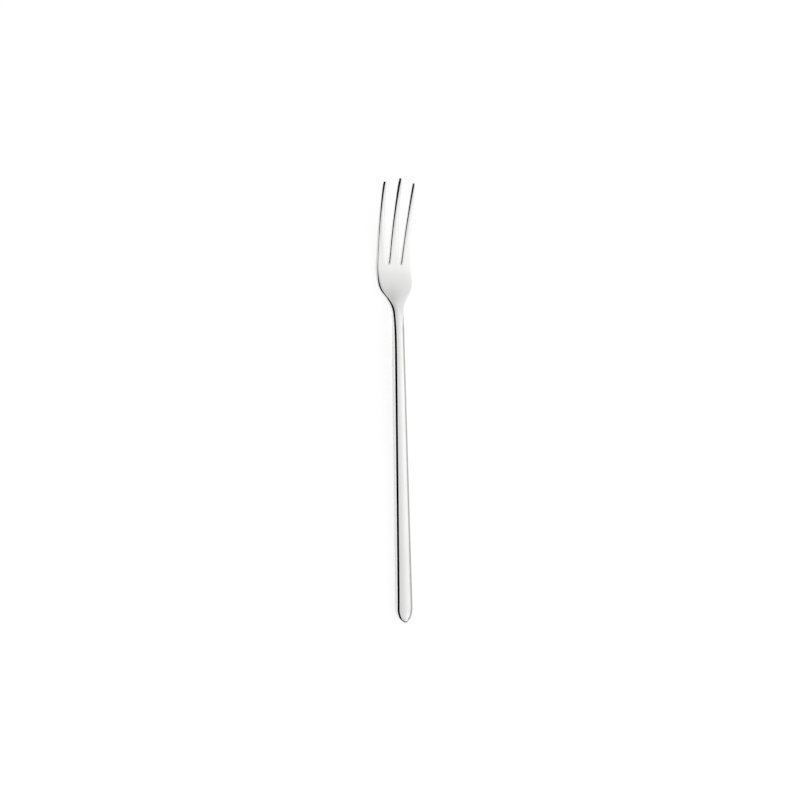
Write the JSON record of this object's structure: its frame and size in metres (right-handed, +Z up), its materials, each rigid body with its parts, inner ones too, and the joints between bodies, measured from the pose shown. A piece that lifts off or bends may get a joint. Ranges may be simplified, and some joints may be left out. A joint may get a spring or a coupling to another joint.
{
  "type": "spaghetti fork",
  "caption": "Slim table fork in polished stainless steel, with long curved tapered tines and a straight flat handle, for winding up and eating spaghetti.",
  "frame": {"origin": "on the table under the middle of the fork's length and width, with the fork lying on its back", "axes": "+Y along the fork from the handle to the tips of the tines, +Z up from the table, out of the fork's front face, +X across the fork to the right"},
  "size_m": [0.0186, 0.2074, 0.0107],
  "materials": {
    "polished_steel": "polished"
  },
  "bodies": {
    "root": {"fork": "polished_steel"}
  },
  "joints": []
}
